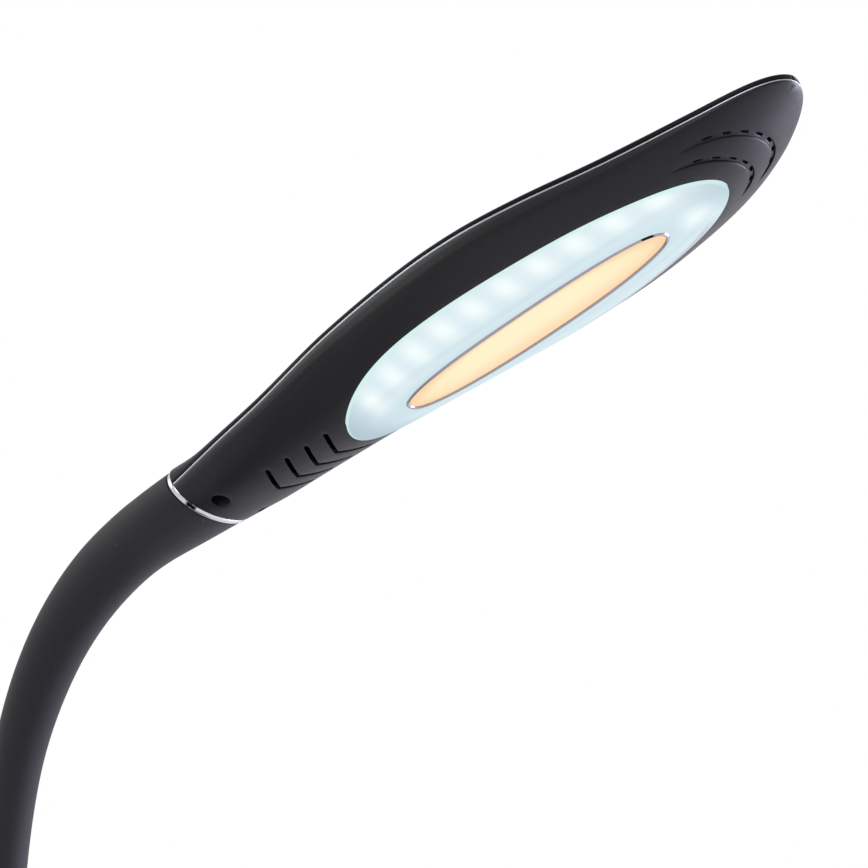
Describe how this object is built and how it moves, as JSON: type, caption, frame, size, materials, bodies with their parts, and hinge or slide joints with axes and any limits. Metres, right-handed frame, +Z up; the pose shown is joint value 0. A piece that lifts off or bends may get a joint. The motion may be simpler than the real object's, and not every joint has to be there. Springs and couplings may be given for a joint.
{
  "type": "gooseneck desk lamp",
  "caption": "Gooseneck desk lamp: leaf-shaped LED head with an opal ring diffuser and warm centre lens, on a bendable sleeved neck and a round weighted base with push buttons.",
  "frame": {"origin": "centre of the plane that the rubber feet stand on, below the centre of the round base", "axes": "+Z up, +X the way the head points, +Y to the side; the lamp is symmetric about the XZ plane apart from its controls"},
  "size_m": [0.4152, 0.176, 0.4023],
  "materials": {
    "cover_plastic": "satin black moulded plastic",
    "shell_plastic": "satin black moulded plastic",
    "top_plastic": "gloss black moulded plastic",
    "pan_plastic": "matt black moulded plastic",
    "button_plastic": "matt dark grey plastic",
    "soft_sleeve": "soft-touch matt silicone",
    "foot_rubber": "matt rubber",
    "bright_metal": "polished chrome plate",
    "bezel_metal": "polished chrome plate",
    "opal_diffuser": "frosted opal plastic",
    "warm_diffuser": "frosted cream plastic",
    "weight_steel": "plain steel",
    "spring_steel": "spiral wound steel",
    "screw_steel": "blackened steel",
    "fitting_plastic": "glass-filled nylon",
    "board_laminate": "green circuit board",
    "board_white": "white circuit board",
    "plate_aluminium": "plain aluminium",
    "cable_jacket": "black cable jacket",
    "connector_plastic": "white nylon",
    "jack_plastic": "black nylon",
    "contact_brass": "plated contact",
    "emitter_white": "white light emitters",
    "emitter_warm": "warm light emitters"
  },
  "bodies": {
    "base": {"base_cover": "cover_plastic", "base_pan": "pan_plastic", "weight_plate": "weight_steel", "rubber_feet": "foot_rubber", "pan_screws": "screw_steel", "neck_socket": "fitting_plastic", "socket_screws": "screw_steel", "root_ring": "bright_metal", "root_sleeve": "soft_sleeve", "root_core": "spring_steel", "root_lead": "cable_jacket", "control_board": "board_laminate", "board_screws": "screw_steel", "tact_switches": "jack_plastic", "board_connectors": "connector_plastic", "dc_jack": "jack_plastic", "jack_pin": "contact_brass", "jack_lead": "cable_jacket"},
    "power_key": {"power_button": "button_plastic", "power_plunger": "fitting_plastic"},
    "tone_key": {"tone_button": "button_plastic", "tone_plunger": "fitting_plastic"},
    "dimmer_key": {"dimmer_button": "button_plastic", "dimmer_plunger": "fitting_plastic"},
    "neck_link_1": {"sleeve_1": "soft_sleeve", "core_1": "spring_steel", "lead_1": "cable_jacket"},
    "neck_link_2": {"sleeve_2": "soft_sleeve", "core_2": "spring_steel", "lead_2": "cable_jacket"},
    "neck_link_3": {"sleeve_3": "soft_sleeve", "core_3": "spring_steel", "lead_3": "cable_jacket"},
    "neck_link_4": {"sleeve_4": "soft_sleeve", "core_4": "spring_steel", "lead_4": "cable_jacket"},
    "neck_link_5": {"sleeve_5": "soft_sleeve", "core_5": "spring_steel", "lead_5": "cable_jacket"},
    "neck_link_6": {"sleeve_6": "soft_sleeve", "core_6": "spring_steel", "lead_6": "cable_jacket"},
    "head": {"flare_sleeve": "soft_sleeve", "head_core": "spring_steel", "head_lead": "cable_jacket", "end_fitting": "fitting_plastic", "end_ring": "bright_metal", "neck_screws": "screw_steel", "lower_shell": "shell_plastic", "seam_trim": "bright_metal", "top_shell": "top_plastic", "diffuser": "opal_diffuser", "lens_bezel": "bezel_metal", "warm_lens": "warm_diffuser", "led_board": "board_white", "heat_plate": "plate_aluminium", "plate_screws": "screw_steel", "white_leds": "emitter_white", "warm_leds": "emitter_warm"}
  },
  "joints": [
    {"name": "lower_bend", "type": "hinge", "parent": "base", "child": "neck_link_1", "pos_m": [-0.052, 0, 0.05], "axis": [0, 1, 0], "range_deg": [-14, 12]},
    {"name": "lower_sway", "type": "hinge", "parent": "neck_link_1", "child": "neck_link_2", "pos_m": [-0.052, 0, 0.0886], "axis": [1, 0, 0], "range_deg": [-12, 12]},
    {"name": "lower_bend_follow", "type": "hinge", "parent": "neck_link_2", "child": "neck_link_3", "pos_m": [-0.05198, 0, 0.1272], "axis": [0, 1, 0], "range_deg": [-14, 12]},
    {"name": "middle_sway", "type": "hinge", "parent": "neck_link_3", "child": "neck_link_4", "pos_m": [-0.04899, 0, 0.16566], "axis": [0.9896, 0, -0.1436], "range_deg": [-12, 12]},
    {"name": "upper_bend", "type": "hinge", "parent": "neck_link_4", "child": "neck_link_5", "pos_m": [-0.04076, 0, 0.20333], "axis": [0, 1, 0], "range_deg": [-14, 12]},
    {"name": "upper_sway", "type": "hinge", "parent": "neck_link_5", "child": "neck_link_6", "pos_m": [-0.02395, 0, 0.23794], "axis": [0.8266, 0, -0.5628], "range_deg": [-12, 12]},
    {"name": "upper_bend_follow", "type": "hinge", "parent": "neck_link_6", "child": "head", "pos_m": [0.00271, 0, 0.26559], "axis": [0, 1, 0], "range_deg": [-14, 12]},
    {"name": "power_press", "type": "slide", "parent": "base", "child": "power_key", "axis": [0, 0, -1], "range_m": [0, 0.001], "stiffness_N_per_m": 900, "springref_m": -0.0012},
    {"name": "tone_press", "type": "slide", "parent": "base", "child": "tone_key", "axis": [0, 0, -1], "range_m": [0, 0.001], "stiffness_N_per_m": 900, "springref_m": -0.0012},
    {"name": "dimmer_press", "type": "slide", "parent": "base", "child": "dimmer_key", "axis": [0, 0, -1], "range_m": [0, 0.001], "stiffness_N_per_m": 900, "springref_m": -0.0012}
  ],
  "couplings": [
    {"joint": "lower_bend_follow", "follows": "lower_bend", "ratio": 1},
    {"joint": "upper_bend_follow", "follows": "upper_bend", "ratio": 1},
    {"joint": "middle_sway", "follows": "lower_sway", "ratio": 1},
    {"joint": "upper_sway", "follows": "lower_sway", "ratio": 1}
  ]
}
